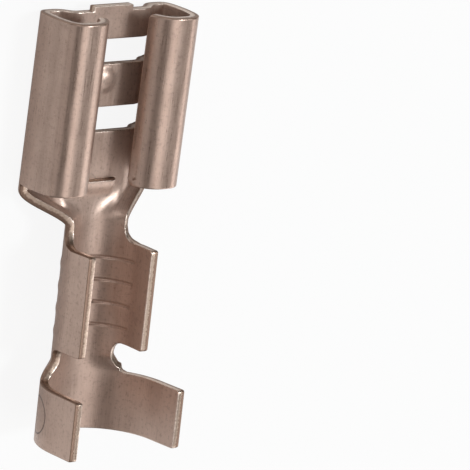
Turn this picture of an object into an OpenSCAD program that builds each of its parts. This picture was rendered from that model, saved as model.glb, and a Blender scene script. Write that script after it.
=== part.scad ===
// Female spade terminal: one strip of plated brass, blanked, folded and formed.
// The receptacle that takes the flat tab lies at +Y, the open wire barrel and the
// open insulation barrel at -Y. Distances along the part are measured back from the
// mouth of the receptacle, and heights from the middle of the strip in the raised floor.

/* [Strip] */
// Thickness of the strip
sheet = 0.4; // [0.3:0.02:0.46]

/* [Receptacle] */
// Length of the receptacle from its mouth to the ends of the curls
box_len = 7.95; // [7:0.05:10]
// Width over the two side walls
box_w = 7.75; // [7.5:0.05:8.6]
// Height from the underside of the lobes to the top of the curls
box_h = 2.9; // [2.6:0.05:3.6]
// Width of the flat floor, raised between the two lobes
floor_w = 3.6; // [3.2:0.1:3.8]
// Drop of each step from the raised floor into its lobe
step_drop = 0.5; // [0.3:0.05:0.6]
// Radius of the two bends of a step, in the middle of the strip
step_r = 0.7; // [0.5:0.05:0.8]
// Inside radius of the lower corner of a side wall
corner_r = 0.15; // [0.1:0.05:0.25]
// Inside radius of the upper bend, where a side wall turns into its curl
curl_r = 0.55; // [0.4:0.05:0.7]
// Flat length on top of a curl
curl_flat = 0.65; // [0.4:0.05:0.9]
// Inside radius of the bend that turns the lip down
lip_r = 0.25; // [0.15:0.05:0.35]
// Angle through which the lip is turned down
lip_turn = 73; // [60:1:88]
// Straight length of the lip
lip_len = 0.7; // [0.4:0.05:0.9]
// Radius on the corner of each lip at the crimp end
lip_corner = 0.35; // [0.1:0.05:0.5]

/* [Tongue, windows and dimple] */
// Width of the tongue at the mouth
tongue_w = 2.25; // [1.5:0.05:3]
// Distance that the tongue stands out of the mouth
tongue_len = 0.23; // [0.1:0.01:0.5]
// Distance from the mouth to the first window
window_start = 1.33; // [1:0.05:1.6]
// Length of each window along the part
window_len = 1.15; // [0.8:0.05:1.4]
// Width of each window across the part
window_w = 6; // [5.2:0.1:6.2]
// Radius in the corners of each window
window_r = 0.25; // [0.1:0.05:0.4]
// Length of the crossbar between the windows
bar_len = 2; // [1.7:0.05:2.4]
// Radius of the locking dimple on the crossbar
dimple_r = 0.68; // [0.4:0.02:0.8]
// Height of the locking dimple
dimple_h = 0.16; // [0.08:0.02:0.24]
// Distance of the dimple from the front edge of the crossbar
dimple_in = 0.75; // [0.7:0.05:1.2]

/* [Tab stop] */
// Width of the sheared stop that the tip of the tab meets
stop_w = 2.6; // [2:0.1:3]
// Height that the stop is raised above the floor
stop_rise = 0.25; // [0.1:0.02:0.3]
// Length of the raised strip in front of the end of the receptacle
stop_len = 0.12; // [0.06:0.02:0.3]

/* [Neck] */
// Distance that the two lobes run straight on behind the curls
lobe_run = 0.25; // [0.1:0.05:0.5]
// Length of the change from the lobes to the round channel
neck_len = 1.5; // [1.3:0.05:2]
// Height of the channel's walls in the neck and between the barrels
web_h = 1; // [0.8:0.05:1.2]
// Angle that the crimp end is set up at, relative to the receptacle
rear_set = 1.8; // [0:0.1:3]
// Distance from the start of the change to the place where the crimp end is set up
pivot_in = 0.5; // [0.2:0.1:0.8]

/* [Wire barrel] */
// Inside radius of the wire barrel
wire_r = 1.68; // [1.4:0.02:1.8]
// Distance from the end of the neck to the wire barrel's wings
wire_in = 0.93; // [0.85:0.02:1.5]
// Length of the wire barrel's wings
wire_len = 4.72; // [4.4:0.05:5.2]
// Height of the wire barrel's wings above the middle of its floor
wire_h = 2.95; // [2.4:0.05:3.4]
// Angle that the strip is turned through to each wire wing
wire_turn = 93.5; // [86:0.5:96]
// Radius where the neck runs out into the wings
wing_fillet = 0.68; // [0.5:0.02:0.7]
// Number of serrations across the wire barrel
serration_n = 4; // [2:1:4]
// Distance from one serration to the next
serration_pitch = 1.05; // [0.8:0.05:1.1]
// Distance from the front of the wings to the first serration
serration_in = 0.85; // [0.4:0.05:1]
// Depth of a serration
serration_depth = 0.09; // [0.04:0.01:0.14]
// Width of a serration
serration_w = 0.22; // [0.12:0.02:0.3]
// Angle that a serration reaches to each side of the middle of the floor
serration_reach = 84; // [50:1:86]

/* [Insulation barrel] */
// Inside radius of the insulation barrel
cover_r = 2.75; // [2.4:0.05:3]
// Gap along the part between the wire wings and the insulation wings
notch_len = 1.5; // [1.3:0.05:1.8]
// Radius at the front of the gap
notch_front_r = 0.5; // [0.3:0.05:0.5]
// Radius at the back of the gap
notch_back_r = 0.3; // [0.15:0.05:0.4]
// Length of the insulation barrel's wings
cover_len = 2.75; // [2.4:0.05:3.4]
// Height of the insulation barrel's wings above the middle of its floor
cover_h = 4.45; // [3.6:0.05:5]
// Angle that the strip is turned through to each insulation wing
cover_turn = 88; // [80:1:92]
// Radius of the round stamped mark on the outside of one wing
mark_r = 0.85; // [0.5:0.05:0.9]
// Angle round the barrel from its floor to the middle of the mark
mark_at = 62; // [50:1:64]
// Width and depth of the mark's line
mark_line = 0.07; // [0.04:0.01:0.1]

/* [Hidden] */

bend_parts = 6;                 // straight pieces that stand in for each bend
overlap = 0.2;                  // how far a cutting body runs past what it cuts
wing_corner_r = 0.12;           // radius on the free corners of the wings
drawn = 0.01;                   // how far the drawn metal of neck and flare lies in, all round
tuck = 0.06;                    // how far the neck and the flare run on inside the barrels
web_flat = 0.1;                 // straight channel between the wire wings' corner and the flare
half = sheet / 2;

// The receptacle's strip from the middle of the floor to the edge of the lip, as a
// list of [length, turn]: a turn of 0 is straight, and a positive turn goes upwards.
step_turn = acos(1 - step_drop / (2 * step_r));
corner_mid = corner_r + half;
curl_mid = curl_r + half;
lip_mid = lip_r + half;
step_run = 2 * step_r * sin(step_turn);
lobe_flat = box_w / 2 - half - corner_mid - step_run - floor_w / 2;
wall_len = box_h - sheet - corner_mid - curl_mid;
lobe_path = [
    [floor_w / 2, 0],
    bend(step_r, -step_turn),
    bend(step_r, step_turn),
    [lobe_flat, 0],
    bend(corner_mid, 90)];
curl_path = [
    [wall_len, 0],
    bend(curl_mid, 90),
    [curl_flat, 0],
    bend(lip_mid, lip_turn),
    [lip_len, 0]];
box_path = concat(lobe_path, curl_path);
lobe_dev = path_len(lobe_path);
lobe_depth = step_drop + half;  // underside of the lobes below the middle of the floor

// Stations along the part, as distances from the mouth.
neck_start = box_len + lobe_run;
neck_end = neck_start + neck_len;
rear_pivot = neck_start + pivot_in;
wire_start = neck_end + wire_in;
wire_end = wire_start + wire_len;
cover_start = wire_end + notch_len;
cover_end = cover_start + cover_len;
flare_start = wire_end + notch_front_r + web_flat;
wire_mid = wire_r + half;
cover_mid = cover_r + half;
bar_start = window_start + window_len;
part_back = rear_pivot + (cover_end - rear_pivot) * cos(rear_set) + half * sin(rear_set);
part_mid = (part_back - tongue_len) / 2;

// A bend as [length in the middle of the strip, turn].
function bend(r, turn) = [r * abs(turn) * PI / 180, turn];
function path_len(path, i = 0) = i == len(path) ? 0 : path[i][0] + path_len(path, i + 1);
function ease(t) = let (c = min(max(t, 0), 1)) c * c * (3 - 2 * c);

// Place and heading [x, z, heading] at a length u along one [length, turn] piece.
function along(piece, u) =
    piece[1] == 0 ? [u, 0, 0]
    : let (r = piece[0] * 180 / (PI * piece[1]), a = piece[1] * u / piece[0])
        [r * sin(a), r * (1 - cos(a)), a];

// Place and heading at a length u along a whole path.
function on_path(path, u, i = 0) =
    i == len(path) - 1 || u <= path[i][0] ? along(path[i], u)
    : let (
        e = along(path[i], path[i][0]),
        q = on_path(path, u - path[i][0], i + 1))
        [e[0] + q[0] * cos(e[2]) - q[1] * sin(e[2]),
         e[1] + q[0] * sin(e[2]) + q[1] * cos(e[2]),
         e[2] + q[2]];

// The same for a length to either side of the middle, mirrored for a negative one.
function on_both(path, u) =
    let (q = on_path(path, abs(u))) u < 0 ? [-q[0], q[1], -q[2]] : q;

// Lengths at which a path is divided: the ends of its pieces, and the steps of its bends.
function divisions(path, i = 0, from = 0) =
    i == len(path) ? []
    : let (n = path[i][1] == 0 ? 1 : bend_parts)
        concat([for (k = [1:n]) from + path[i][0] * k / n],
            divisions(path, i + 1, from + path[i][0]));

function both_sides(list) =
    concat([for (i = [len(list) - 1:-1:0]) -list[i]], [0], list);

// A point off the middle of the strip, on its upper side for a positive distance.
function off_strip(q, d) = [q[0] - d * sin(q[2]), q[1] + d * cos(q[2])];

// Outline of the folded strip, as deep as the sheet is thick.
function strip_outline(path) =
    let (us = both_sides(divisions(path)))
        concat([for (u = us) off_strip(on_both(path, u), -half)],
            [for (i = [len(us) - 1:-1:0]) off_strip(on_both(path, us[i]), half)]);

// Swings a point of the crimp end up about the pivot.
function set_up(p) =
    let (y = p[1] + rear_pivot)
        [p[0],
         y * cos(rear_set) + p[2] * sin(rear_set) - rear_pivot,
         p[2] * cos(rear_set) - y * sin(rear_set)];

// Half angle at which a channel of radius r reaches a height.
function channel_angle(r, h) = acos(1 - h / r);

// A body from two grids of points, the under side and the upper side of a strip.
module between_grids(under, upper) {
    rows = len(under);
    cols = len(under[0]);
    n = rows * cols;
    points = concat([for (row = under, p = row) p], [for (row = upper, p = row) p]);
    function quad(a, b, c, d) = [[a, b, c], [a, c, d]];
    low = [for (i = [0:rows - 2], j = [0:cols - 2])
        let (a = i * cols + j) each quad(a, a + cols, a + cols + 1, a + 1)];
    high = [for (i = [0:rows - 2], j = [0:cols - 2])
        let (a = n + i * cols + j) each quad(a, a + 1, a + cols + 1, a + cols)];
    sides = [for (i = [0:rows - 2])
        let (a = i * cols, b = a + cols - 1)
            each concat(quad(a, n + a, n + a + cols, a + cols),
                quad(b, b + cols, n + b + cols, n + b))];
    ends = [for (j = [0:cols - 2])
        let (b = (rows - 1) * cols + j)
            each concat(quad(j, j + 1, n + j + 1, n + j),
                quad(b, n + b, n + b + 1, b + 1))];
    polyhedron(points, concat(low, high, sides, ends));
}

// Folded box of the receptacle, without its windows.
module box_section() {
    rotate([90, 0, 0])
        linear_extrude(box_len)
            polygon(strip_outline(box_path));
}

// One window, cut down through the floor with round corners.
module window(start) {
    dx = window_w / 2 - window_r;
    translate([0, -start - window_len / 2, -lobe_depth - overlap])
        linear_extrude(lobe_depth + half + 2 * overlap)
            union() {
                square([2 * dx, window_len], center = true);
                square([window_w, window_len - 2 * window_r], center = true);
                for (x = [-dx, dx], y = [-1, 1])
                    translate([x, y * (window_len / 2 - window_r)])
                        circle(window_r, $fn = 24);
            }
}

// Round dimple, pushed up out of the crossbar: the cap of a ball of radius r.
module dimple_cap(r_foot, base) {
    r = (r_foot * r_foot + dimple_h * dimple_h) / (2 * dimple_h);
    translate([0, -bar_start - dimple_in, base])
        intersection() {
            translate([0, 0, dimple_h - r])
                sphere(r, $fn = 36);
            cylinder(h = dimple_h + overlap, r = r_foot + overlap, $fn = 36);
        }
}

// Trims the corner of one lip where the curl ends.
module lip_trim() {
    lip_edge = on_path(box_path, path_len(box_path) - lip_len)[0] - half;
    translate([lip_edge, -box_len, box_h - lobe_depth - curl_mid - half])
        linear_extrude(curl_mid + half + overlap)
            difference() {
                translate([-2 * overlap, -overlap])
                    square([lip_corner + 2 * overlap, lip_corner + overlap]);
                translate([lip_corner, lip_corner])
                    circle(lip_corner, $fn = 48);
                translate([-3 * overlap, lip_corner])
                    square([lip_corner + 3 * overlap, overlap]);
            }
}

module receptacle() {
    difference() {
        union() {
            box_section();
            translate([-tongue_w / 2, -overlap, -half])
                cube([tongue_w, tongue_len + overlap, sheet]);
        }
        window(window_start);
        window(bar_start + bar_len);
        translate([-stop_w / 2, -box_len - overlap, -half - overlap])
            cube([stop_w, stop_len + overlap, sheet + 2 * overlap]);
        dimple_cap(dimple_r - half, -half);
        for (side = [0, 1])
            mirror([side, 0, 0])
                lip_trim();
    }
    dimple_cap(dimple_r, half);
    translate([-stop_w / 2, -box_len, stop_rise - half])
        cube([stop_w, stop_len, sheet]);
}

// Middle of the strip in the neck, at a share f of its half width and a distance y
// behind the mouth: the receptacle's lobes draw in and up into the round channel.
function neck_mid(f, y) =
    let (
        s = ease((y - neck_start) / neck_len),
        a = on_both(lobe_path, f * lobe_dev),
        t = f * channel_angle(wire_mid, web_h - drawn),
        b = [wire_mid * sin(t), wire_mid * (1 - cos(t))],
        lift = stop_rise * (1 - ease((y - box_len) / (rear_pivot - box_len)))
            * (1 - ease((abs(a[0]) - stop_w / 2) / half)),
        p = [a[0] + (b[0] - a[0]) * s, -y, a[1] + lift + (b[1] - a[1]) * s])
        p + (set_up(p) - p) * s;

// Upward normal of the neck; at its two ends it stays in the plane of the section.
function neck_normal(f, y) =
    let (
        e = 0.002,
        v = y > box_len + e && y < neck_end - e,
        across = neck_mid(f + e, y) - neck_mid(f - e, y),
        along_y = v ? neck_mid(f, y - e) - neck_mid(f, y + e)
            : y < rear_pivot ? [0, 1, 0] : set_up([0, 1, 0]) - set_up([0, 0, 0]),
        n = cross(across, along_y))
        n / norm(n);

module neck_change() {
    rows = 10;
    ys = concat([box_len], [for (k = [0:rows - 1]) neck_start + neck_len * k / rows],
        [neck_end - tuck, neck_end + tuck]);
    floor_parts = [for (k = [1:4]) floor_w / 2 * k / 5];
    fs = both_sides([for (u = concat(floor_parts, divisions(lobe_path))) u / lobe_dev]);
    function side(d) =
        [for (y = ys) [for (f = fs) neck_mid(f, y) + d * neck_normal(f, y)]];
    between_grids(side(drawn - half), side(half - drawn));
}

// A point of a round channel: angle t from the middle of its floor, d above the middle
// of the strip, in a channel whose radius r grows by slope for each unit of length.
function channel_point(t, y, r, slope, d) =
    let (n = [-sin(t), -slope * (1 - cos(t)), cos(t)])
        [r * sin(t), -y, r * (1 - cos(t))] + d * n / norm(n);

// Height of a cut edge above web_h where it runs out round a corner of radius r.
function corner_rise(dist, r) =
    dist >= r ? 0 : r - sqrt(r * r - pow(r - max(dist, 0), 2));

// Change from the wire barrel to the wider insulation barrel, below the notch.
function flare_r(y) =
    wire_mid + (cover_mid - wire_mid) * ease((y - flare_start) / (cover_start - flare_start));
module flare() {
    parts = 16;
    back = [for (a = [0, 22.5, 45, 67.5, 80]) cover_start - notch_back_r * (1 - sin(a))];
    front = [for (k = [1:5]) flare_start + (back[0] - flare_start) * k / 6];
    ys = concat([flare_start - tuck, flare_start + tuck / 2], front, back,
        [cover_start + tuck]);
    e = 0.001;
    function side(d) =
        [for (y = ys)
            let (
                r = flare_r(y),
                slope = (flare_r(y + e) - flare_r(y - e)) / (2 * e),
                h = web_h - drawn + corner_rise(cover_start - y, notch_back_r),
                t = channel_angle(r, h))
                [for (j = [-parts:parts]) channel_point(t * j / parts, y, r, slope, d)]];
    between_grids(side(drawn - half), side(half - drawn));
}

// Section of an open barrel filled up to its upper line: a round floor of radius r that
// runs out at the angle turn, to both sides, into straight wings of length wing.
module barrel_section(r, turn, wing) {
    root = r * [sin(turn), -cos(turn)];
    tip = root + wing * [cos(turn), sin(turn)];
    intersection() {
        circle(r, $fn = 72);
        translate([-2 * r, -2 * r])
            square([4 * r, 2 * r + root[1] + half]);
    }
    polygon([[0, -r / 2], root, tip, [-tip[0], tip[1]], [-root[0], root[1]]]);
}

// Open barrel of inside radius r, from start for a length along the part.
module open_barrel(r, turn, height, start, length) {
    mid = r + half;
    wing = (height - mid * (1 - cos(turn))) / sin(turn);
    rotate([90, 0, 0])
        translate([0, mid, start])
            linear_extrude(length)
                difference() {
                    barrel_section(r + sheet, turn, wing);
                    barrel_section(r, turn, wing + mid);
                }
}

// What a round corner of radius r leaves over, for a corner that points to +X and +Y.
module corner_waste(r) {
    difference() {
        translate([-r, -r])
            square(r + overlap);
        translate([-r, -r])
            circle(r, $fn = 36);
    }
}

// Rounds the four free corners of a pair of wings.
module wing_corners(start, end, height) {
    translate([0, 0, height])
        rotate([90, 0, 90])
            linear_extrude(4 * cover_r, center = true) {
                translate([-start, 0])
                    corner_waste(wing_corner_r);
                translate([-end, 0])
                    mirror([1, 0])
                        corner_waste(wing_corner_r);
            }
}

// Cuts down the right side of the channel beside the wire wings, square to the strip:
// from the distance open to the wing's edge at shut, where it runs out round a radius.
module edge_cut(open, shut, r) {
    reach = 2 * wire_h;
    length = abs(open - shut);
    translate([0, 0, wire_mid])
        rotate([0, 90 - channel_angle(wire_mid, web_h), 0])
            rotate([90, 0, 90])
                translate([-shut, 0, wire_r / 2])
                    mirror([open < shut ? 0 : 1, 0, 0])
                        linear_extrude(reach)
                            union() {
                                translate([r, 0])
                                    square([length - r, reach]);
                                translate([0, r])
                                    square([length, reach]);
                                translate([r, r])
                                    circle(r, $fn = 72);
                            }
}

// Serrations round the inside of the wire barrel, V-shaped with an eased root.
module serrations() {
    for (i = [0:serration_n - 1])
        translate([0, -wire_start - serration_in - i * serration_pitch, wire_mid])
            rotate([90, 0, 0])
                rotate([0, 0, -90 - serration_reach])
                    rotate_extrude(angle = 2 * serration_reach, $fn = 48)
                        polygon([
                            [wire_r - overlap, -serration_w * 0.8],
                            [wire_r, -serration_w / 2],
                            [wire_r + serration_depth * 0.8, -serration_w / 6],
                            [wire_r + serration_depth, 0],
                            [wire_r + serration_depth * 0.8, serration_w / 6],
                            [wire_r, serration_w / 2],
                            [wire_r - overlap, serration_w * 0.8]]);
}

// Wire barrel with the channel in front of it and behind it.
module wire_barrel() {
    difference() {
        open_barrel(wire_r, wire_turn, wire_h, neck_end, flare_start - neck_end);
        for (side = [0, 1])
            mirror([side, 0, 0]) {
                edge_cut(neck_end - overlap, wire_start, wing_fillet);
                edge_cut(flare_start + overlap, wire_end, notch_front_r);
            }
        wing_corners(wire_start, wire_end, wire_h);
        serrations();
    }
}

// Round line stamped into the outside of the left wing; it is plain inside.
module mark() {
    depth = cover_r + sheet;
    translate([0, -(cover_start + cover_end) / 2, cover_mid])
        rotate([0, 180 + mark_at, 0])
            difference() {
                cylinder(h = depth + overlap, r = mark_r, $fn = 48);
                cylinder(h = depth + overlap, r = mark_r - mark_line, $fn = 48);
                rotate([0, -mark_at, 0])
                    rotate([90, 0, 0])
                        cylinder(h = 4 * mark_r, r = depth - mark_line, center = true, $fn = 72);
            }
}

module insulation_barrel() {
    difference() {
        open_barrel(cover_r, cover_turn, cover_h, cover_start, cover_len);
        wing_corners(cover_start, cover_end, cover_h);
        mark();
    }
}

module crimp_end() {
    translate([0, -rear_pivot, 0])
        rotate([-rear_set, 0, 0])
            translate([0, rear_pivot, 0]) {
                wire_barrel();
                flare();
                insulation_barrel();
            }
}

// The whole part lies on its lobes, with its origin under the middle of its length.
module terminal() {
    color([0.62, 0.54, 0.5])
        translate([0, part_mid, lobe_depth]) {
            receptacle();
            neck_change();
            crimp_end();
        }
}

terminal();
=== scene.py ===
# %% [markdown]
# # A female spade terminal
# The real object is one strip of tin-plated brass, 0.4 mm thick, that a press tool
# blanks, folds and forms. At one end the strip is rolled into a receptacle for a flat
# tab, at the other it makes two open barrels that are crimped round a wire. Nothing
# moves, so everything rides on one body.
#
# The packed model is loaded first, as a fixed frame. Its box is kept, because the
# finished piece has to stay inside it.

# %% Load the frame
import bpy
import numpy as np
from mathutils import Matrix, Vector


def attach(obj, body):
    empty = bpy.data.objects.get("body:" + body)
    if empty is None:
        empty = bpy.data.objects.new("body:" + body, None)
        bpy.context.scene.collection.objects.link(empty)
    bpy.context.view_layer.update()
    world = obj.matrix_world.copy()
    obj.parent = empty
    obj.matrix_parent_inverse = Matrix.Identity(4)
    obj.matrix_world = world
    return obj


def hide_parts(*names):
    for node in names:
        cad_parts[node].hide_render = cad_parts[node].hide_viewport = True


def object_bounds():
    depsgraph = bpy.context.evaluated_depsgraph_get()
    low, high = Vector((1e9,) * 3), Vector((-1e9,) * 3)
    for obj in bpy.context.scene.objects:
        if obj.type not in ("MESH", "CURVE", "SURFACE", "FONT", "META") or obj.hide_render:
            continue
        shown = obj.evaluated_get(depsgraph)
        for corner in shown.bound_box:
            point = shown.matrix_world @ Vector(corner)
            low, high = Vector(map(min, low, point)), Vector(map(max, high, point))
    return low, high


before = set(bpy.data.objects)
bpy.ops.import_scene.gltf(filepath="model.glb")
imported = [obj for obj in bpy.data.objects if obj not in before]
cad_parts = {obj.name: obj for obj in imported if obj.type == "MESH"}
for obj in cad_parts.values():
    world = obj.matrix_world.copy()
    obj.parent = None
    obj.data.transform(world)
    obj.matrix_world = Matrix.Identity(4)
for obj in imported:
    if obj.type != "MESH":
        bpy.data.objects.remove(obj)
cad_low, cad_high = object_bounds()
print("CAD box in mm:", [round((h - l) * 1000, 3) for l, h in zip(cad_low, cad_high)])

# %% [markdown]
# ## Sizes of the strip
# A folded part is easiest to think of as its flat blank: a point of the strip is found
# by how far it lies from the centre line, measured along the bends, and by how far back
# it lies from the mouth. Sizes are in millimetres and turns in degrees. The radius of a
# bend is that of the middle of the strip, so a bend keeps its length when it is folded.

# %% Sizes of the receptacle
sheet = 0.4             # thickness of the strip
half = sheet / 2
box_len = 7.95          # from the mouth to the back ends of the curls
box_w = 7.75            # over the two side walls
box_h = 2.9             # from the underside of the lobes to the top of the curls
floor_w = 3.6           # raised floor between the two lobes
step_drop = 0.5         # drop from the raised floor into a lobe
step_r = 0.7            # the two bends of that step
corner_mid = 0.35       # bend from a lobe into its side wall
wall_bow = 22.0         # turn of a side wall, which bows outwards
curl_mid = 0.75         # bend from a side wall into its curl
curl_flat = 0.35        # flat on top of a curl
lip_mid = 1.05          # bend of the lip, which points down at the tab
lip_turn = 73.0
lip_len = 0.2           # straight end of the lip
lip_corner = 0.35       # round corner at the back of the lip
mouth_corner = 0.175    # round corner at the front of the lip
tongue_w = 2.25         # tongue at the mouth, which leads the tab in
tongue_len = 0.23
tongue_corner = 0.08
window_start = 1.33     # from the mouth to the first of the two windows
window_len = 1.15
window_w = 6.0
window_r = 0.25
bar_len = 2.0           # crossbar between the windows
dimple_r = 0.68         # dimple on the crossbar
dimple_h = 0.16
dimple_at = 3.23
dimple_flank = 0.8      # share of its radius that slopes
stop_w = 2.6            # sheared and raised stop for the tab
stop_rise = 0.25
stop_at = 7.83
stop_side = 0.25        # slope at each end of the stop
stop_fade = 0.9         # slope behind the stop
print("receptacle", box_w, "mm wide,", box_h, "mm high and", box_len, "mm long")

# %% Sizes of the neck and the barrels
lobe_run = 0.25         # how far the receptacle's section runs on behind the curls
neck_end = 9.7          # where the neck has become a round channel
web_h = 1.0             # height of the channel where it has no wings
rear_set = np.radians(1.8)      # the crimp end is set up by this angle
rear_pivot = 8.7                # about the floor at this distance
wire_mid = 1.88         # wire barrel: radius, front, length, height and turn of a wing
wire_start = 10.63
wire_len = 4.72
wire_h = 2.95
wire_turn = 93.5
wing_fillet = 0.68      # round corner from the neck's edge up into the wire wings
serration_n = 4         # serrations across the wire barrel, which bite into the wire
serration_in = 0.85     # from the front of the wings to the first one
serration_pitch = 1.05
serration_depth = 0.07
ridge_h = 0.03          # ridge that each raises on the lower face
cover_mid = 2.95        # insulation barrel: radius, length, height and turn of a wing
cover_len = 2.75
cover_h = 4.45
cover_turn = 88.0
notch_len = 1.5         # notch between the wings of the two barrels
notch_front_r = 0.5
notch_back_r = 0.3
wing_corner = 0.12      # small round corners at the tips of the wings
flare_lead = 0.1        # channel behind the wire wings before it starts to widen
wire_end = wire_start + wire_len
flare_start = wire_end + notch_front_r
cover_start = wire_end + notch_len
cover_end = cover_start + cover_len
serrations = wire_start + serration_in + serration_pitch * np.arange(serration_n)
print("serrations at", serrations.round(2), "mm, end of the strip at", round(cover_end, 2), "mm")

# %% [markdown]
# ## A bend as a path
# A section across the strip is a path of straight pieces and round bends, walked from
# the centre line outwards. Walking it for a length u gives a place and a heading. The
# whole array of lengths is walked at once: each length is looked up in the table of
# pieces, and then goes on along its own piece.

# %% Walk along a folded section
almost_straight = 1e-9  # turn in radians that a straight piece is given


def bend(radius, turn):
    """A bend as (length in the middle of the strip, turn in degrees)."""
    return (radius * np.radians(abs(turn)), turn)


def walk(path, u):
    """Place (x, z) at the lengths u along a path of (length, turn) pieces.

    A bend of radius r = length / turn adds r (sin b - sin a) and r (cos a - cos b),
    where the heading goes from a to b. A straight piece is a bend of almost no turn. A
    negative u is the same place on the other side of the centre line.
    """
    lengths = np.array([p[0] for p in path])
    turns = np.radians([p[1] for p in path])
    heads = np.concatenate([[0], np.cumsum(turns)[:-1]])
    starts = np.concatenate([[0], np.cumsum(lengths)[:-1]])
    rate = np.where(np.abs(turns) < almost_straight, almost_straight, turns) / lengths

    def run(i, d):
        a, b = heads[i], heads[i] + rate[i] * d
        return (np.sin(b) - np.sin(a)) / rate[i], (np.cos(a) - np.cos(b)) / rate[i]

    steps = [run(i, lengths[i]) for i in range(len(path))]
    x0 = np.concatenate([[0], np.cumsum([s[0] for s in steps])[:-1]])
    z0 = np.concatenate([[0], np.cumsum([s[1] for s in steps])[:-1]])
    far = np.abs(u)
    i = np.clip(np.searchsorted(starts, far, side="right") - 1, 0, len(path) - 1)
    dx, dz = run(i, far - starts[i])
    return np.sign(u) * (x0[i] + dx), z0[i] + dz


print("a quarter turn of radius 1 mm takes", round(bend(1, 90)[0], 3), "mm of strip")

# %% [markdown]
# ## The section of the receptacle
# From the centre line the section goes along the raised floor, down a step into a lobe,
# round a corner, up a bowed side wall, and over in a curl whose lip points down. The
# flat in the lobe takes up what is left, so that the walls come out at their full width.

# %% Section of the receptacle
step_turn = np.degrees(np.arccos(1 - step_drop / (2 * step_r)))
step_run = 2 * step_r * np.sin(np.radians(step_turn))
lean = np.radians(wall_bow / 2)                 # each end of a side wall leans by this
wall_rise = box_h - sheet - (corner_mid + curl_mid) * (1 - np.sin(lean))
wall_len = wall_rise * lean / np.sin(lean)      # the arc that stands over this rise
wall_bulge = wall_rise / 2 * np.tan(lean / 2)   # how far its middle stands out
lobe_flat = (box_w / 2 - half - (corner_mid * np.cos(lean) + wall_bulge)
             - step_run - floor_w / 2)
corner_bend = bend(corner_mid, 90 - wall_bow / 2)
curl_bend = bend(curl_mid, 90 - wall_bow / 2)
lobe_path = [(floor_w / 2, 0), bend(step_r, -step_turn), bend(step_r, step_turn),
             (lobe_flat, 0), corner_bend]
curl_path = [(wall_len, wall_bow), curl_bend, (curl_flat, 0), bend(lip_mid, lip_turn),
             (lip_len, 0)]
box_path = lobe_path + curl_path
lobe_dev = sum(p[0] for p in lobe_path)         # developed: length along the bends
box_dev = sum(p[0] for p in box_path)
print("half width of the flat blank at the receptacle:", round(box_dev, 3), "mm")

# %% [markdown]
# ## The flat blank as one grid
# The whole strip is one grid of rows, which run across it, and columns, which run along
# it. A grid point carries two numbers: u, how far it lies from the centre line, and y,
# how far back it lies from the mouth. The inner columns run all the way along the strip.
# The outer columns are used twice: for the two curls, and for the wings of the barrels.
# Rows and columns are closer where the real strip bends tightly or has a corner.

# %% Columns of the blank
n_small, n_window, n_lip, n_fillet = 2, 4, 4, 6     # squares along a round corner


def spread(*stops):
    """Values from stop to stop: stops are given as value, count, value, count, ... value.
    A value may be an array, which gives a row of values for each of its numbers."""
    values, counts = stops[0::2], stops[1::2]
    runs = [np.linspace(a, b, n, endpoint=False, axis=-1)
            for a, b, n in zip(values[:-1], values[1:], counts)]
    return np.concatenate(runs + [np.asarray(values[-1])[..., None]], axis=-1)


step_arc = step_r * np.radians(step_turn)
window_u = window_w / 2 + 2 * step_arc - step_run   # the two bends are longer than their run
stop_u = stop_w / 2
inner = spread(0, 13, tongue_w / 2 - tongue_corner, n_small, tongue_w / 2, 2, stop_u, 5,
               floor_w / 2, 6, floor_w / 2 + step_arc, 4, window_u - window_r, n_window,
               window_u, 3, lobe_dev - corner_bend[0], 6, lobe_dev)
curl_top = lobe_dev + wall_len + curl_bend[0]
curl = spread(lobe_dev, 7, lobe_dev + wall_len, 12, curl_top, 3, curl_top + curl_flat, 11,
              box_dev - lip_corner, n_lip, box_dev)
n_in, n_out = len(inner) - 1, len(curl) - 1
n_half = n_in + n_out
tongue_col, window_col = (int(np.argmin(np.abs(inner - u))) for u in (tongue_w / 2, window_u))
print(n_in, "inner and", n_out, "outer columns on each side of the centre line")

# %% Rows of the blank
groove_side = np.array([0.02, 0.045, 0.065, 0.09, 0.12])
groove = np.concatenate([-groove_side[::-1], [0], groove_side])     # rows at a serration
windows = [(window_start, window_start + window_len),
           (window_start + window_len + bar_len, window_start + 2 * window_len + bar_len)]
(w1, w2), (w3, w4) = windows

rows_box = spread(-tongue_len, n_small, -tongue_len + tongue_corner, 1, 0, n_small,
                  mouth_corner, 9, w1, n_window, w1 + window_r, 5, w2 - window_r, n_window,
                  w2, 24, w3, n_window, w3 + window_r, 5, w4 - window_r, n_window,
                  w4, 15, box_len - lip_corner, n_lip, box_len)
rows_neck = spread(box_len, 3, box_len + lobe_run, 20, neck_end)[1:]
rows_web = spread(neck_end, 3, wire_start - wing_fillet, n_fillet, wire_start)[1:]
rows_wire = [spread(wire_start, n_small, wire_start + wing_corner,
                    5, serrations[0] + groove[0])[1:]]
groove_ends = np.append(serrations[1:] + groove[0], wire_end - wing_corner)
for at, end in zip(serrations, groove_ends):
    rows_wire += [at + groove[1:], spread(at + groove[-1], 6, end)[1:]]
rows_wire.append(spread(wire_end - wing_corner, n_small, wire_end)[1:])
rows_flare = spread(wire_end, n_fillet, wire_end + notch_front_r, 10,
                    cover_start - notch_back_r, n_fillet, cover_start)[1:]
rows_cover = spread(cover_start, n_small, cover_start + wing_corner, 17,
                    cover_end - wing_corner, n_small, cover_end)[1:]
rows = np.concatenate([rows_box, rows_neck, rows_web, *rows_wire, rows_flare, rows_cover])


def row_at(y):
    """Number of the row at the distance y."""
    return int(np.argmin(np.abs(rows - y)))


stop_row = row_at(stop_at)
rows = np.insert(rows, stop_row, rows[stop_row])    # the floor is sheared along this row
print(len(rows), "rows and", 2 * n_half + 1, "columns")

# %% [markdown]
# ## Where the columns run
# In the receptacle the columns lie at fixed distances from the centre line. Along the
# neck the inner columns draw together with the edges of the strip. In the barrels they
# fill the low channel, and the outer columns fill a wing from the channel to its tip.

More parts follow.
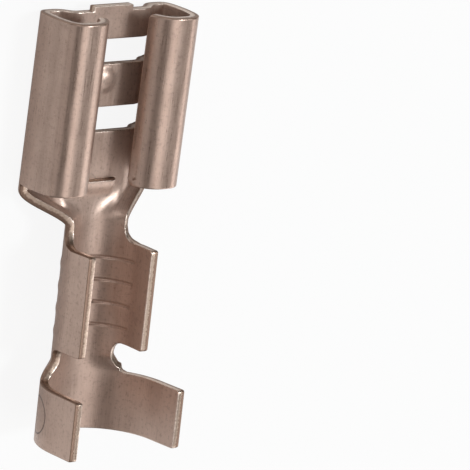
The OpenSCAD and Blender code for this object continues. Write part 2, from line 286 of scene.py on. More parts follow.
# %% Distances from the centre line
def ease(t):
    """Smooth step from 0 to 1: t squared times (3 - 2 t), held flat outside."""
    t = np.clip(t, 0, 1)
    return t * t * (3 - 2 * t)


def barrel_radius(y):
    """Mid radius: that of the wire barrel, eased up along the flare to the wider one."""
    widen_from = flare_start + flare_lead
    return wire_mid + (cover_mid - wire_mid) * ease((y - widen_from) / (cover_start - widen_from))


def channel_width(y):
    """Half the developed width of a round channel that is web_h high."""
    r = barrel_radius(y)
    return r * np.arccos(1 - web_h / r)


def wing_tip(mid, turn, height):
    """Developed distance to a wing's tip: the arc, then the straight part up to height."""
    t = np.radians(turn)
    return mid * t + (height - mid * (1 - np.cos(t))) / np.sin(t)


in_box = rows <= box_len
root = np.where(in_box, lobe_dev, channel_width(np.maximum(rows, neck_end)))
wire_tip = wing_tip(wire_mid, wire_turn, wire_h)
cover_tip = wing_tip(cover_mid, cover_turn, cover_h)
notch_turns = cover_start - notch_back_r        # from here back a row belongs to the cover
tip = np.where(np.arange(len(rows)) < row_at(notch_turns), wire_tip, cover_tip)
fillet = np.interp(rows, [wire_start, wire_end, notch_turns, cover_start],
                   [wing_fillet, notch_front_r, notch_back_r, notch_back_r])
wings = spread(root, n_fillet, root + fillet, n_out - n_fillet - n_small,
               tip - wing_corner, n_small, tip)
outer = np.where(in_box[:, None], curl, wings)
half_u = np.concatenate([inner / lobe_dev * root[:, None], outer[:, 1:]], axis=1)
half_y = np.repeat(rows[:, None], n_half + 1, axis=1)
print("wire wing to", round(wire_tip, 3), "mm, insulation wing to", round(cover_tip, 3), "mm")

# %% [markdown]
# ## Which squares of the grid are metal
# The press tool cuts windows, notches and corners out of the strip. On the grid this is
# a mask: a square is either kept or not.

# %% Mask
i_mouth, i_box, i_wire, i_wire_end, i_cover = map(
    row_at, (0, box_len, wire_start, wire_end, cover_start))
keep = np.zeros((len(rows) - 1, n_half), bool)
keep[:i_mouth, :tongue_col] = True              # tongue
keep[i_mouth:i_box, :] = True                   # receptacle
keep[i_box:, :n_in] = True                      # neck and channel
keep[i_wire:i_wire_end, n_in:] = True           # wire wings
keep[i_cover:, n_in:] = True                    # insulation wings
for first, last in windows:
    keep[row_at(first):row_at(last), :window_col] = False
keep[stop_row, :] = False                       # between the two rows of the sheared line
print(int(keep.sum()) * 2, "squares of metal before the corners are rounded")

# %% [markdown]
# ## Round corners
# A corner that the tool leaves round is made by moving the grid points near it. At an
# outer corner a small block of squares becomes a quarter of a disc. In an inner corner a
# triangle of squares is kept, and its slanting side becomes the arc, so that this side
# is made of half squares with three corners.

# %% Round corners
three_sided = []                                # rows and columns of their corners


def corner_block(n):
    """Counts p along the rows and q along the columns, from 0 to n, as two arrays."""
    return np.meshgrid(np.arange(n + 1), np.arange(n + 1), indexing="ij")


def round_outer(i, j, di, dj, n, r):
    """Outer corner at row i, column j: the n by n block that lies di, dj inwards of it
    becomes a quarter disc of radius r. The distance from its centre is the larger of the
    two shares a and b, and the angle is 45 degrees times their ratio."""
    p, q = corner_block(n)
    a, b = (n - q) / n, (n - p) / n
    far = np.maximum(a, b)
    low = np.where(far > 0, np.minimum(a, b) / np.where(far > 0, far, 1), 0)
    angle = np.where(b <= a, low, 2 - low) * np.pi / 4
    centre = half_u[i, j] + dj * r, half_y[i, j] + di * r
    half_u[i + di * p, j + dj * q] = centre[0] - dj * far * r * np.cos(angle)
    half_y[i + di * p, j + dj * q] = centre[1] - di * far * r * np.sin(angle)


def round_inner(i, j, di, dj, n, r):
    """Inner corner at row i, column j: a triangle of squares, n along each side, fills it
    up to an arc of radius r. Along the ray at an angle g from the corner the arc lies at
    r (c + s - root((c + s) squared - 1)), where c and s are the cosine and sine of g."""
    p, q = corner_block(n)
    p, q = p[p + q <= n], q[p + q <= n]
    g = np.arctan2(p, q)
    total = np.cos(g) + np.sin(g)
    reach = r * (total - np.sqrt(np.maximum(total ** 2 - 1, 0))) * (p + q) / n
    u0, y0 = half_u[i, j], half_y[i, j]
    half_u[i + di * p, j + dj * q] = u0 + dj * reach * np.cos(g)
    half_y[i + di * p, j + dj * q] = y0 + di * reach * np.sin(g)
    ci, cj = (i if di > 0 else i - 1), (j if dj > 0 else j - 1)
    inside = p + q < n - 1
    keep[ci + di * p[inside], cj + dj * q[inside]] = True
    p, q = p[p + q == n - 1], q[p + q == n - 1]
    corners = np.stack([i + di * np.stack([p, p + 1, p], 1),
                        j + dj * np.stack([q, q, q + 1], 1)], -1)
    three_sided.append(corners if di * dj > 0 else corners[:, ::-1])


round_outer(0, tongue_col, 1, -1, n_small, tongue_corner)
round_outer(i_mouth, n_half, 1, -1, n_small, mouth_corner)
round_outer(i_box, n_half, -1, -1, n_lip, lip_corner)
for first, last in windows:
    round_inner(row_at(first), window_col, 1, -1, n_window, window_r)
    round_inner(row_at(last), window_col, -1, -1, n_window, window_r)
round_inner(i_wire, n_in, -1, 1, n_fillet, wing_fillet)
round_inner(i_wire_end, n_in, 1, 1, n_fillet, notch_front_r)
round_inner(i_cover, n_in, -1, 1, n_fillet, notch_back_r)
for i, di in ((i_wire, 1), (i_wire_end, -1), (i_cover, 1), (len(rows) - 1, -1)):
    round_outer(i, n_half, di, -1, n_small, wing_corner)
three_sided = np.concatenate(three_sided)
print(int(keep.sum()) * 2, "squares of metal,", len(three_sided) * 2, "three-sided ones")

# %% [markdown]
# ## Folding the blank
# Every grid point is now put where the press tool takes it. In the receptacle the
# section is walked along its bends. The floor has a round dimple, which snaps into the
# hole of the tab, and a sheared step that stops the tab. In the barrels a row is a round
# arc that runs out into straight wings, and the whole crimp end is set up a little. Along
# the neck, a point goes over smoothly from its place in the one to its place in the other.
# Heights are measured from the middle of the strip in the raised floor.

# %% Fold
def lay_box(u, y):
    """The receptacle: the walked section, with the dimple as a cap over the crossbar."""
    x, z = walk(box_path, u)
    away = np.hypot(x, y - dimple_at) / dimple_r
    on_floor = np.abs(u) < floor_w / 2          # the curls pass over the dimple
    cap = np.where(on_floor, ease((1 - away) / dimple_flank), 0) * dimple_h
    return np.stack([x, -y, z + cap], -1)


def lay_channel(u, y):
    """A barrel: an arc of radius r up to the angle t, then straight at that heading. The
    result is turned by rear_set about the pivot on the floor."""
    r = barrel_radius(y)
    t = np.radians(np.where(y < (flare_start + cover_start) / 2, wire_turn, cover_turn))
    arc = np.minimum(np.abs(u) / r, t)
    wing = np.maximum(np.abs(u) - r * t, 0)
    x = np.sign(u) * (r * np.sin(arc) + wing * np.cos(t))
    z = r * (1 - np.cos(arc)) + wing * np.sin(t)
    back = rear_pivot - y
    return np.stack([x, back * np.cos(rear_set) + z * np.sin(rear_set) - rear_pivot,
                     z * np.cos(rear_set) - back * np.sin(rear_set)], -1)


def lift_of(u, y):
    """Height that the floor is raised at the sheared stop, fading out along the neck."""
    across = ease((stop_u - np.abs(u)) / stop_side)
    return stop_rise * across * (1 - ease((y - stop_at) / stop_fade)) * (y >= stop_at)


signs = np.concatenate([-np.ones(n_half), np.ones(n_half + 1)])
columns = np.concatenate([np.arange(n_half, 0, -1), np.arange(n_half + 1)])
grid_u = half_u[:, columns] * signs
grid_y = half_y[:, columns]
behind = (np.arange(len(rows)) > stop_row)[:, None]     # rows behind the sheared line
boxed = lay_box(grid_u, grid_y)
boxed[..., 2] += lift_of(grid_u, grid_y) * behind
widened_u = grid_u / channel_width(np.maximum(grid_y, neck_end)) * lobe_dev
necked = lay_box(widened_u, grid_y)
lift = lift_of(necked[..., 0], grid_y) * behind
blend = ease((grid_y - box_len - lobe_run) / (neck_end - box_len - lobe_run))[..., None]
necked = necked + (lay_channel(grid_u, grid_y) - necked) * blend
necked[..., 2] += lift
place = np.where(in_box[:, None, None], boxed, necked)
print("strip reaches", place.reshape(-1, 3).min(0).round(2), place.reshape(-1, 3).max(0).round(2))

# %% [markdown]
# ## Faces and normals
# The kept squares and the half squares become faces, on both sides of the centre line.
# The two rows of the sheared line share their points at its ends, so that the strip is
# whole there. A normal at a grid point is the sum of the normals of the faces around it.

# %% Squares, half squares and normals
number = np.arange(grid_u.size).reshape(grid_u.shape)
rounding = 1e-9
pinned = np.abs(grid_u[stop_row]) >= stop_u - rounding
number[stop_row + 1, pinned] = number[stop_row, pinned]
mid = place.reshape(-1, 3)
ri, ci = np.nonzero(np.concatenate([keep[:, ::-1], keep], axis=1))
squares = np.stack([number[ri, ci], number[ri + 1, ci],
                    number[ri + 1, ci + 1], number[ri, ci + 1]], 1)
tri_row, tri_col = three_sided[..., 0], three_sided[..., 1]
triples = np.concatenate([number[tri_row, n_half + tri_col],
                          number[tri_row, n_half - tri_col][:, ::-1]])


def face_normals(faces):
    """Area normal of each face: half the cross product of its two diagonals. A face with
    three corners counts its first one again as the fourth."""
    a, b, c = mid[faces[:, 0]], mid[faces[:, 1]], mid[faces[:, 2]]
    d = mid[faces[:, 3]] if faces.shape[1] == 4 else a
    return np.cross(c - a, d - b) / 2


normal = np.zeros_like(mid)
for faces in (squares, triples):
    area = face_normals(faces)
    for k in range(faces.shape[1]):
        np.add.at(normal, faces[:, k], area)
length = np.linalg.norm(normal, axis=1, keepdims=True)
normal /= np.where(length > 0, length, 1)
print("upward normal at the dimple:", normal[number[row_at(dimple_at), n_half]].round(3))

# %% [markdown]
# ## From a folded surface to metal with a thickness
# The grid is the middle of the strip. Two copies of it, half the thickness up and half
# down along the normals, are the faces of the strip. Each serration presses the upper
# face in, and raises a faint ridge on the face below. Both fade out up the wings.

# %% Upper face with serrations, lower face with their faint ridges
press_flat, press_half = 0.018, 0.09            # half widths of a groove's root and top
press_turn, press_fade = 82, 6                  # a groove fades from this turn over that
ridge_flat, ridge_half = 0.02, 0.3              # the same for a ridge
ridge_turn, ridge_fade = 88, 10


def band(distance, flat, wide):
    """1 within flat of a line, easing to 0 at wide from it."""
    return 1 - ease((np.abs(distance) - flat) / (wide - flat))


uu, yy = grid_u.reshape(-1), grid_y.reshape(-1)
turned = np.degrees(np.abs(uu)) / wire_mid
near = yy[:, None] - serrations[None, :]
pressed = (serration_depth * band(near, press_flat, press_half).max(1)
           * (1 - ease((turned - press_turn) / press_fade)))
ridge = (ridge_h * band(near, ridge_flat, ridge_half).max(1)
         * (1 - ease((turned - ridge_turn) / ridge_fade)))
upper = half - pressed
lower = half + ridge
print("serrations", round(pressed.max(), 3), "mm deep, ridges", round(ridge.max(), 3), "mm high")

# %% [markdown]
# ## The sheared outline
# Where a face has no neighbour, the strip was cut. An edge between two neighbours is
# walked once in each direction, so an edge that has no twin in the other direction lies
# on the outline. At each of its points a vector is worked out that points out of the
# metal. At a corner it is lengthened, as in a mitre, so that both sides move evenly.
#
# Two rows meet where the round corner of a lip begins. The edge between them has no
# length and so no direction: its vector is not a number. Its points are left as they
# are, like the two ends of the sheared line, so the rim has a sharp corner there.

# %% Outline of the metal
sharp_turn = 0.5        # below this sum of two unit vectors the line turns back on itself

loops = [squares[:, [k, (k + 1) % 4]] for k in range(4)]
loops += [triples[:, [k, (k + 1) % 3]] for k in range(3)]
edges = np.concatenate(loops)
code = edges[:, 0] * len(mid) + edges[:, 1]
twin_code = edges[:, 1] * len(mid) + edges[:, 0]
rim = edges[~np.isin(code, twin_code)]
along = mid[rim[:, 1]] - mid[rim[:, 0]]
outward = np.cross(along, normal[rim[:, 0]] + normal[rim[:, 1]])
with np.errstate(invalid="ignore"):
    outward /= np.linalg.norm(outward, axis=1, keepdims=True)
out = np.zeros_like(mid)
np.add.at(out, rim[:, 0], outward)
np.add.at(out, rim[:, 1], outward)
size = np.linalg.norm(out, axis=1)
mitred = size > sharp_turn
out[mitred] *= (2 / size[mitred] ** 2)[:, None]
out[~mitred] = 0                                # the points that are left as they are
print(len(rim), "edges round the sheared outline")

# %% [markdown]
# ## The rim of the strip
# Shearing leaves an edge that is neither knife-sharp nor round. Its upper corner is
# rounded over a few hundredths of a millimetre, and light catches there. At the lower
# corner the metal was drawn down into the die, so it rolls over deeper. So the faces stop
# short of the outline, and the rim goes round it in seven steps: a quarter of a circle,
# straight down across the cut, and a quarter of an upright ellipse.

# %% Rim points
edge_r, roll_depth = 0.035, 0.12
angles = np.radians([0, 30, 60, 90])


def rim_ring(v):
    """Rim points of the outline points v, from the upper face round to the lower one.

    With b outwards and n upwards, a corner of radius r at the angle a lies at
    b r (sin a - 1) + n (h - d + d cos a), where h is half the thickness there, and the
    depth d of the corner is r on the upper face and roll_depth on the lower one.
    """
    p, n, b = mid[v], normal[v], out[v]
    up, low = upper[v, None], lower[v, None]
    over = [p + b * edge_r * (np.sin(a) - 1) + n * (up - edge_r + edge_r * np.cos(a))
            for a in angles]
    under = [p + b * edge_r * (np.sin(a) - 1) - n * (low - roll_depth + roll_depth * np.cos(a))
             for a in angles[::-1]]
    return np.stack(over + under, 1)


rim_v = np.unique(rim)
ring = rim_ring(rim_v)
steps = ring.shape[1]
print(steps - 1, "strips of faces round", len(rim_v), "points of the outline")

# %% [markdown]
# ## One closed skin
# The points are numbered again, because the grid also holds points that no face uses.
# The upper face comes first, then the lower one, then the rim's own points. The first
# and the last point of each ring are points of the two faces, so the skin is closed. Each
# point keeps its place on the flat blank, for the finish, and its depth through the
# strip, from 0 on the upper face to 1 on the lower one.

# %% Points and faces of the skin
used = np.unique(np.concatenate([squares.ravel(), triples.ravel()]))
n_top = len(used)
compact = np.full(len(mid), -1)
compact[used] = np.arange(n_top)
top = mid[used] + normal[used] * upper[used, None]
under = mid[used] - normal[used] * lower[used, None]
top[compact[rim_v]], under[compact[rim_v]] = ring[:, 0], ring[:, -1]
ring_at = np.full((len(mid), steps), -1)
ring_at[rim_v, 0] = compact[rim_v]
ring_at[rim_v, -1] = compact[rim_v] + n_top
ring_at[rim_v[:, None], np.arange(1, steps - 1)] = (
    2 * n_top + np.arange(len(rim_v) * (steps - 2)).reshape(len(rim_v), -1))
points = np.concatenate([top, under, ring[:, 1:-1].reshape(-1, 3)])

blank_uv = np.stack([uu, yy], 1)
point_uv = np.concatenate([blank_uv[used], blank_uv[used],
                           np.repeat(blank_uv[rim_v], steps - 2, axis=0)])
fall = 1 - np.cos(angles)
ring_depth = np.concatenate([fall * edge_r / sheet, 1 - fall[::-1] * roll_depth / sheet])
point_depth = np.concatenate([np.zeros(n_top), np.ones(n_top),
                              np.tile(ring_depth[1:-1], len(rim_v))])

a, b = rim[:, 0], rim[:, 1]
rim_faces = np.concatenate([
    np.stack([ring_at[b, k], ring_at[a, k], ring_at[a, k + 1], ring_at[b, k + 1]], 1)
    for k in range(steps - 1)])
faces4 = np.concatenate([compact[squares], compact[squares][:, ::-1] + n_top, rim_faces])
faces3 = np.concatenate([compact[triples], compact[triples][:, ::-1] + n_top])
rim_first = 2 * len(squares)
print(len(points), "points,", len(faces4), "four-sided and", len(faces3), "three-sided faces")

# %% [markdown]
# ## Into Blender, in the frame's place
# The frame has its origin under the middle of the part and measures in metres. The mouth
# lies half the part's length forward, less the tongue, and the floor's middle lies one
# step and half a thickness up. The tips of the wings are cut square to the strip here,
# and so they would stand about a hundredth of a millimetre too high. Heights are
# therefore held between the packed model's lowest and highest point.

# %% Place in the frame, and a helper for the mesh
mouth_y = cad_high.y * 1000 - tongue_len
floor_z = step_drop + half
place_m = (points + np.array([0, mouth_y, floor_z])) / 1000
place_m[:, 2] = np.clip(place_m[:, 2], cad_low.z, cad_high.z)


def make_mesh(name, verts, quads, tris, uvs, depths, materials, rim_from):
    """A mesh object from arrays, with a UV map in millimetres of blank and smooth faces.
    Four-sided faces from the number rim_from on have the second material."""
    mesh = bpy.data.meshes.new(name)
    corners = np.concatenate([quads.ravel(), tris.ravel()]).astype(np.int32)
    starts = np.concatenate([np.arange(len(quads)) * 4,
                             len(quads) * 4 + np.arange(len(tris)) * 3]).astype(np.int32)
    mesh.vertices.add(len(verts))
    mesh.vertices.foreach_set("co", verts.astype(np.float32).ravel())
    mesh.loops.add(len(corners))
    mesh.loops.foreach_set("vertex_index", corners)
    mesh.polygons.add(len(starts))
    mesh.polygons.foreach_set("loop_start", starts)
    kind = np.zeros(len(starts), np.int32)
    kind[rim_from:len(quads)] = 1
    for m in materials:
        mesh.materials.append(m)
    mesh.polygons.foreach_set("material_index", kind)
    mesh.polygons.foreach_set("use_smooth", np.ones(len(starts), bool))
    layer = mesh.uv_layers.new(name="blank")
    layer.data.foreach_set("uv", uvs[corners].astype(np.float32).ravel())
    depth = mesh.attributes.new("depth", "FLOAT", "POINT")
    depth.data.foreach_set("value", depths.astype(np.float32))
    mesh.update(calc_edges=True)
    mesh.validate()
    piece = bpy.data.objects.new(name, mesh)
    bpy.context.scene.collection.objects.link(piece)
    return piece


print("points in m from", place_m.min(0).round(5), "to", place_m.max(0).round(5))

# %% [markdown]
# ## Short ways to build a finish
# A finish is a chain of nodes, and the same few kinds come back all the time: a noise, a
# colour over a value, a range made into another range, a sum, and a tint laid over a
# colour. A small class keeps the node tree and has a method for each, so that the
# finishes below read as a list of what lies on the metal.

# %% Helper for finishes
class Finish:
    """A new material with short ways to add nodes. A value is a socket or plain numbers."""

    def __init__(self, name):
        self.material = bpy.data.materials.new(name)
        self.material.use_nodes = True
        self.nodes = self.material.node_tree.nodes
        self.shader = self.nodes["Principled BSDF"]

    def feed(self, socket, value):
        """Link another node's socket into this one, or set it to plain numbers."""
        if isinstance(value, bpy.types.NodeSocket):
            self.material.node_tree.links.new(value, socket)
        else:
            socket.default_value = value

    def object_place(self):
        """The place on the piece in metres."""
        return self.nodes.new("ShaderNodeTexCoord").outputs["Object"]

    def blank_place(self):
        """The place on the flat blank in millimetres, and the depth through the strip."""
        blank = self.nodes.new("ShaderNodeUVMap")
        blank.uv_map = "blank"
        depth = self.nodes.new("ShaderNodeAttribute")
        depth.attribute_name = "depth"
        return blank.outputs["UV"], depth.outputs["Fac"]

    def noise(self, vector, scale, detail, rough, stretch=None):
        """A noise texture on the given vector, stretched per axis by a Mapping node."""
        if stretch is not None:
            mapping = self.nodes.new("ShaderNodeMapping")
            self.feed(mapping.inputs["Scale"], stretch)
            self.feed(mapping.inputs["Vector"], vector)
            vector = mapping.outputs["Vector"]
        node = self.nodes.new("ShaderNodeTexNoise")
        for name, value in (("Vector", vector), ("Scale", scale), ("Detail", detail),
                            ("Roughness", rough)):
            self.feed(node.inputs[name], value)
        return node.outputs["Fac"]

    def ramp(self, value, stops):
        """A colour ramp over value; stops are (position, colour)."""
        node = self.nodes.new("ShaderNodeValToRGB")
        while len(node.color_ramp.elements) < len(stops):
            node.color_ramp.elements.new(0.5)
        for element, (position, colour) in zip(node.color_ramp.elements, stops):
            element.position = position
            element.color = (*colour, 1)
        self.feed(node.inputs["Fac"], value)
        return node.outputs["Color"]

    def span(self, value, low, high, to_low, to_high):
        """The range from low to high, made into the range from to_low to to_high."""
        node = self.nodes.new("ShaderNodeMapRange")
        for name, number in (("Value", value), ("From Min", low), ("From Max", high),
                             ("To Min", to_low), ("To Max", to_high)):
            self.feed(node.inputs[name], number)
        return node.outputs["Result"]

    def combine(self, operation, first, second=0.0):
        """A Math node on two values."""
        node = self.nodes.new("ShaderNodeMath")
        node.operation = operation
        self.feed(node.inputs[0], first)
        self.feed(node.inputs[1], second)
        return node.outputs[0]

    def apart(self, first, second):
        """The difference of two values, without its sign."""
        return self.combine("ABSOLUTE", self.combine("SUBTRACT", first, second))

    def tint(self, colour, other, amount):
        """The colour with another colour laid over it by an amount."""
        node = self.nodes.new("ShaderNodeMix")
        node.data_type = "RGBA"
        self.feed(node.inputs["Factor"], amount)
        self.feed(node.inputs[6], colour)
        self.feed(node.inputs[7], (*other, 1))
        return node.outputs[2]

    def bump(self, height, strength, distance):
        """Bump from a height, with its full height given in metres."""
        node = self.nodes.new("ShaderNodeBump")
        self.feed(node.inputs["Strength"], strength)
        self.feed(node.inputs["Distance"], distance)
        self.feed(node.inputs["Height"], height)
        self.feed(self.shader.inputs["Normal"], node.outputs["Normal"])


print("methods of a finish:", ", ".join(n for n in vars(Finish) if not n.startswith("_")))

# %% [markdown]
# ## Tin plating
# The plating is a warm grey, a little brown where it is thin, and satin: it was rolled
# as strip, so fine lines run along it, and handling leaves short nicks and small dull
# spots. The upper face, which ends up inside, is a little duller than the lower one. A
# darker band is laid along the tight bends of the curls: it stands for dark surroundings
# that bright metal would mirror there and that this plain room doesn't have. A round line
# is stamped into the outside of one insulation wing. It is finer than the grid, so its
# dent is drawn with bump, and the shade in its groove is painted as a dark colour.

# %% Finish of the plated faces
plating_colours = [(0.28, (0.46, 0.325, 0.265)), (0.5, (0.53, 0.380, 0.310)),
                   (0.72, (0.59, 0.430, 0.355))]
speck_colour = (0.34, 0.235, 0.19)
line_colour = (0.64, 0.475, 0.40)
nick_colour = (0.70, 0.54, 0.46)
# painted shade for the groove of the stamped round line
groove_shade_colour = (0.16, 0.11, 0.09)
bend_colour = (0.25, 0.17, 0.135)
bend_amount = 0.45
dark_bends = [(lobe_dev + 0.8 * wall_len, 0.65),    # distance out and reach, mm
              (curl_top + curl_flat / 2, 0.30)]
mark_r, mark_line, mark_turn = 0.85, 0.07, 62.0     # stamped line: radius, width, turn up
mark_u = -cover_mid * np.radians(mark_turn)
mark_y = (cover_start + cover_end) / 2


def near_bend(finish, place, centre, reach):
    """How near a point is to a bend line at the distance centre from the centre line:
    it falls evenly from bend_amount on the line to 0 at reach, on both halves."""
    parts = finish.nodes.new("ShaderNodeSeparateXYZ")
    finish.feed(parts.inputs[0], place)
    off = finish.apart(finish.combine("ABSOLUTE", parts.outputs["X"]), centre)
    in_receptacle = finish.combine("LESS_THAN", parts.outputs["Y"], box_len)
    return finish.combine("MULTIPLY", in_receptacle,
                          finish.span(off, 0, reach, bend_amount, 0))


def stamped_line(finish, place, depth):
    """1 on the round stamped line, 0 off it: the distance from the mark's centre less
    its radius is small there. It is held to the lower face by the depth."""
    offset = finish.nodes.new("ShaderNodeVectorMath")
    offset.operation = "DISTANCE"
    finish.feed(offset.inputs[0], place)
    finish.feed(offset.inputs[1], (mark_u, mark_y, 0))
    off_line = finish.apart(offset.outputs["Value"], mark_r)
    line = finish.span(off_line, mark_line * 0.35, mark_line * 0.75, 1, 0)
    return finish.combine("MULTIPLY", line, depth)


def plated_strip():
    """Satin tin plating: mottled warm grey with specks, rolling lines and nicks."""
    finish = Finish("tin_plated_brass")
    place, depth = finish.blank_place()
    here = finish.object_place()
    mottle = finish.noise(here, 700, 4, 0.65)
    specks = finish.noise(here, 7000, 2, 0.5)
    grain = finish.noise(place, 3.0, 3, 0.55, stretch=(7.5, 0.20, 1))
    slant = finish.noise(place, 2.2, 1, 0.4, stretch=(0.9, 11, 1))
    mark = stamped_line(finish, place, depth)
    colour = finish.ramp(mottle, plating_colours)
    colour = finish.tint(colour, speck_colour, finish.span(specks, 0.54, 0.68, 0, 0.6))
    colour = finish.tint(colour, line_colour, finish.span(grain, 0.40, 0.65, 0, 0.5))
    for centre, reach in dark_bends:
        colour = finish.tint(colour, bend_colour, near_bend(finish, place, centre, reach))
    nicks = finish.span(finish.apart(slant, 0.62), 0, 0.010, 0.6, 0)
    colour = finish.tint(colour, nick_colour, nicks)
    # painted shade: the groove of the stamped line is given a dark colour
    colour = finish.tint(colour, groove_shade_colour, finish.combine("MULTIPLY", mark, 0.9))
    finish.feed(finish.shader.inputs["Base Color"], colour)
    finish.feed(finish.shader.inputs["Metallic"], finish.span(depth, 0, 1, 0.54, 0.80))
    finish.feed(finish.shader.inputs["Roughness"], finish.combine(
        "ADD", finish.span(grain, 0.3, 0.7, 0.26, 0.38), finish.span(depth, 0, 1, 0.03, 0)))
    height = finish.combine("ADD", specks, finish.combine("MULTIPLY", grain, 0.6))
    height = finish.combine("SUBTRACT", height, finish.combine("MULTIPLY", mark, 2.0))
    finish.bump(height, 0.35, 0.00001)
    print(finish.material.name, "has", len(finish.nodes), "nodes")
    return finish.material


# %% [markdown]
# ## The sheared edge
# The cut has no plating. It shows two zones: next to the upper face the punch left the
# alloy bright, and towards the lower face it tore, which is rough and browner. On the
# small round corner at the upper face the colour is lighter still: a painted glint. The
# border between the zones is a little wavy, so a noise is added to the depth before it
# is turned into a colour.

# %% Finish of the cut, and the piece
# the first stop lies on the upper round corner and is a painted glint; the rest are the bright
# and the torn zone of the cut
cut_and_glint_colours = [(0.0, (0.80, 0.67, 0.59)), (0.12, (0.66, 0.52, 0.43)),
                (0.48, (0.56, 0.42, 0.33)), (0.60, (0.26, 0.17, 0.13)),
                (0.95, (0.36, 0.24, 0.18))]
pit_colour = (0.30, 0.20, 0.15)


def sheared_edge():
    """Bare alloy on the cut: a painted glint on its upper round corner, a bright zone,
    then a torn, browner one, with a wavy border.
    """
    finish = Finish("sheared_edge")
    place, depth = finish.blank_place()
    waves = finish.noise(place, 9.0, 3, 0.6)
    pits = finish.noise(finish.object_place(), 9000, 2, 0.5)
    border = finish.combine("ADD", depth, finish.span(waves, 0.3, 0.7, -0.12, 0.12))
    colour = finish.ramp(border, cut_and_glint_colours)
    colour = finish.tint(colour, pit_colour, finish.span(pits, 0.55, 0.7, 0, 0.5))
    finish.feed(finish.shader.inputs["Base Color"], colour)
    finish.feed(finish.shader.inputs["Metallic"], 1.0)
    finish.feed(finish.shader.inputs["Roughness"], finish.span(border, 0.3, 0.7, 0.28, 0.5))
    finish.bump(pits, 0.5, 0.00002)
    print(finish.material.name, "has", len(finish.nodes), "nodes")
    return finish.material


terminal = make_mesh("terminal_strip", place_m, faces4, faces3, point_uv, point_depth,
                     [plated_strip(), sheared_edge()], rim_first)
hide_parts("terminal")
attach(terminal, "root")
print(terminal.name, "has", len(terminal.data.polygons), "faces")

# %% [markdown]
# ## Camera
# A long lens from far off keeps the part's edges almost parallel, as in a catalogue
# picture. The camera looks down on the part from the mouth's side, and it is rolled so
# that the part stands upright in the frame. It is set up from the direction to the
# camera, the direction that is up in the picture, and the point that it looks at.

# %% Camera
azimuth, dip, roll = np.radians([41.295, 13.244, 7.457])
distance = 244.08       # from the floor of the mouth, in mm
view_width = 20.94      # what the picture spans at that distance, in mm
aim_right, aim_up = 5.502, -10.067      # from the mouth to the middle of the picture, in mm
sensor = 36

to_camera = np.array([-np.sin(azimuth) * np.cos(dip), np.sin(dip),
                      np.cos(azimuth) * np.cos(dip)])
across = np.cross([0, 1, 0], to_camera)
across /= np.linalg.norm(across)
upright = np.cross(to_camera, across)
across, upright = (across * np.cos(roll) + upright * np.sin(roll),
                   upright * np.cos(roll) - across * np.sin(roll))
mouth = np.array([0, mouth_y, floor_z])
eye = mouth + to_camera * distance
look = mouth + across * aim_right + upright * aim_up - eye
look /= np.linalg.norm(look)
side = np.cross(look, upright)
side /= np.linalg.norm(side)
turn = np.array([side, np.cross(side, look), -look]).T
camera_data = bpy.data.cameras.new("camera")
camera_data.sensor_width = sensor
camera_data.lens = distance * sensor / view_width
camera_data.clip_start, camera_data.clip_end = 0.01, 10
camera = bpy.data.objects.new("camera", camera_data)
bpy.context.scene.collection.objects.link(camera)
camera.matrix_world = Matrix.Translation(Vector(eye / 1000)) @ Matrix(turn.tolist()).to_4x4()
bpy.context.scene.camera = camera
print("camera", (eye / 1000).round(4), "m, lens", round(camera_data.lens, 1), "mm")

# %% [markdown]
# ## Floor
# The part lies on a plain white table. The table is matt white and keeps the part's
# shadow. A large share of plain white is added where the camera sees it, so that the
# background is white. Where the metal mirrors it the share is smaller, so that the
# metal keeps its darker tone.

# %% White table
camera_white, mirror_white = 0.9, 0.16
table_half = 1.5        # in metres


def white_table():
    """Matt white mixed with plain white, by a share that depends on who sees it: the
    largest of camera_white to the camera and mirror_white in mirrors and through glass."""
    finish = Finish("white_table")
    finish.feed(finish.shader.inputs["Base Color"], (0.9, 0.9, 0.9, 1))
    finish.feed(finish.shader.inputs["Roughness"], 0.9)
    white = finish.nodes.new("ShaderNodeEmission")
    finish.feed(white.inputs["Color"], (1, 1, 1, 1))
    path = finish.nodes.new("ShaderNodeLightPath")
    share = 0.0
    for ray, weight in (("Is Camera Ray", camera_white), ("Is Glossy Ray", mirror_white),
                        ("Is Transmission Ray", mirror_white)):
        share = finish.combine("MAXIMUM", share,
                               finish.combine("MULTIPLY", path.outputs[ray], weight))
    mix = finish.nodes.new("ShaderNodeMixShader")
    finish.feed(mix.inputs["Fac"], share)
    finish.feed(mix.inputs[1], finish.shader.outputs["BSDF"])
    finish.feed(mix.inputs[2], white.outputs["Emission"])
    finish.feed(finish.nodes["Material Output"].inputs["Surface"], mix.outputs["Shader"])
    return finish.material


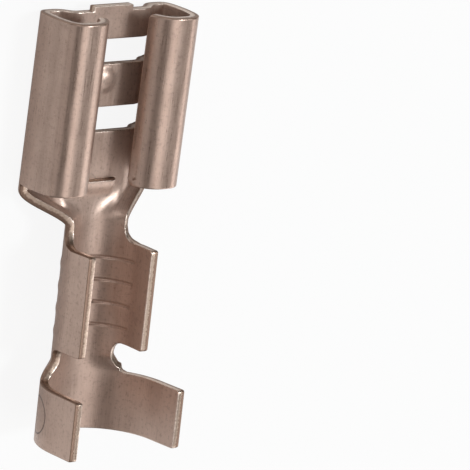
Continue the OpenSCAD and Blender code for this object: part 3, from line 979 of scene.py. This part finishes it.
table_mesh = bpy.data.meshes.new("table")
table_mesh.from_pydata(
    [(-table_half, -table_half, 0), (table_half, -table_half, 0),
     (table_half, table_half, 0), (-table_half, table_half, 0)], [], [(0, 1, 2, 3)])
table_mesh.materials.append(white_table())
table = bpy.data.objects.new("table", table_mesh)
bpy.context.scene.collection.objects.link(table)
print("table", 2 * table_half, "m wide")

# %% [markdown]
# ## Light
# Metal shows what stands around it, so the lamps are chosen by what the strip should
# mirror. A small bright box high on the right makes the soft highlight in the hollow of
# the neck. A soft box overhead and one behind it light the rounded tops of the curls, a
# low one on the right lights their lips, and weak ones in front and on the left keep the
# walls and the insides from going black. The room between them stays dim and a little
# warm.

# %% Lamps
room_colour, room_strength = (1, 0.88, 0.80, 1), 0.10
key_colour = (0.90, 0.97, 1.0)
lamp_distance = 0.5     # in metres

world = bpy.data.worlds.new("studio")
bpy.context.scene.world = world
world.use_nodes = True
world.node_tree.nodes["Background"].inputs["Color"].default_value = room_colour
world.node_tree.nodes["Background"].inputs["Strength"].default_value = room_strength


def soft_box(name, bearing, height, width, radiance, colour=(1, 1, 1)):
    """A square area lamp, at a bearing from +X towards +Y and a height above the table in
    degrees. Its power is pi times its area times its radiance."""
    data = bpy.data.lights.new(name, "AREA")
    data.size = width
    data.energy = np.pi * width ** 2 * radiance
    data.color = colour
    lamp = bpy.data.objects.new(name, data)
    a, e = np.radians([bearing, height])
    to_lamp = Vector((np.cos(a) * np.cos(e), np.sin(a) * np.cos(e), np.sin(e)))
    lamp.location = to_lamp * lamp_distance
    lamp.rotation_mode = "QUATERNION"
    lamp.rotation_quaternion = to_lamp.to_track_quat("Z", "Y")
    bpy.context.scene.collection.objects.link(lamp)
    print(name, "power", round(data.energy, 2), "W")


soft_box("key", 23, 63, 0.14, 16.5, key_colour)
soft_box("overhead", -90, 80, 0.28, 1.3)
soft_box("back_top", -60, 50, 0.28, 1.0)
soft_box("side_low", -30, 19, 0.30, 2.1)
soft_box("front_low", 120, 20, 0.30, 1.5)
soft_box("front_top", 150, 50, 0.30, 0.6)
soft_box("left_low", -165, 20, 0.30, 0.5)
bpy.context.scene.view_settings.view_transform = "Standard"
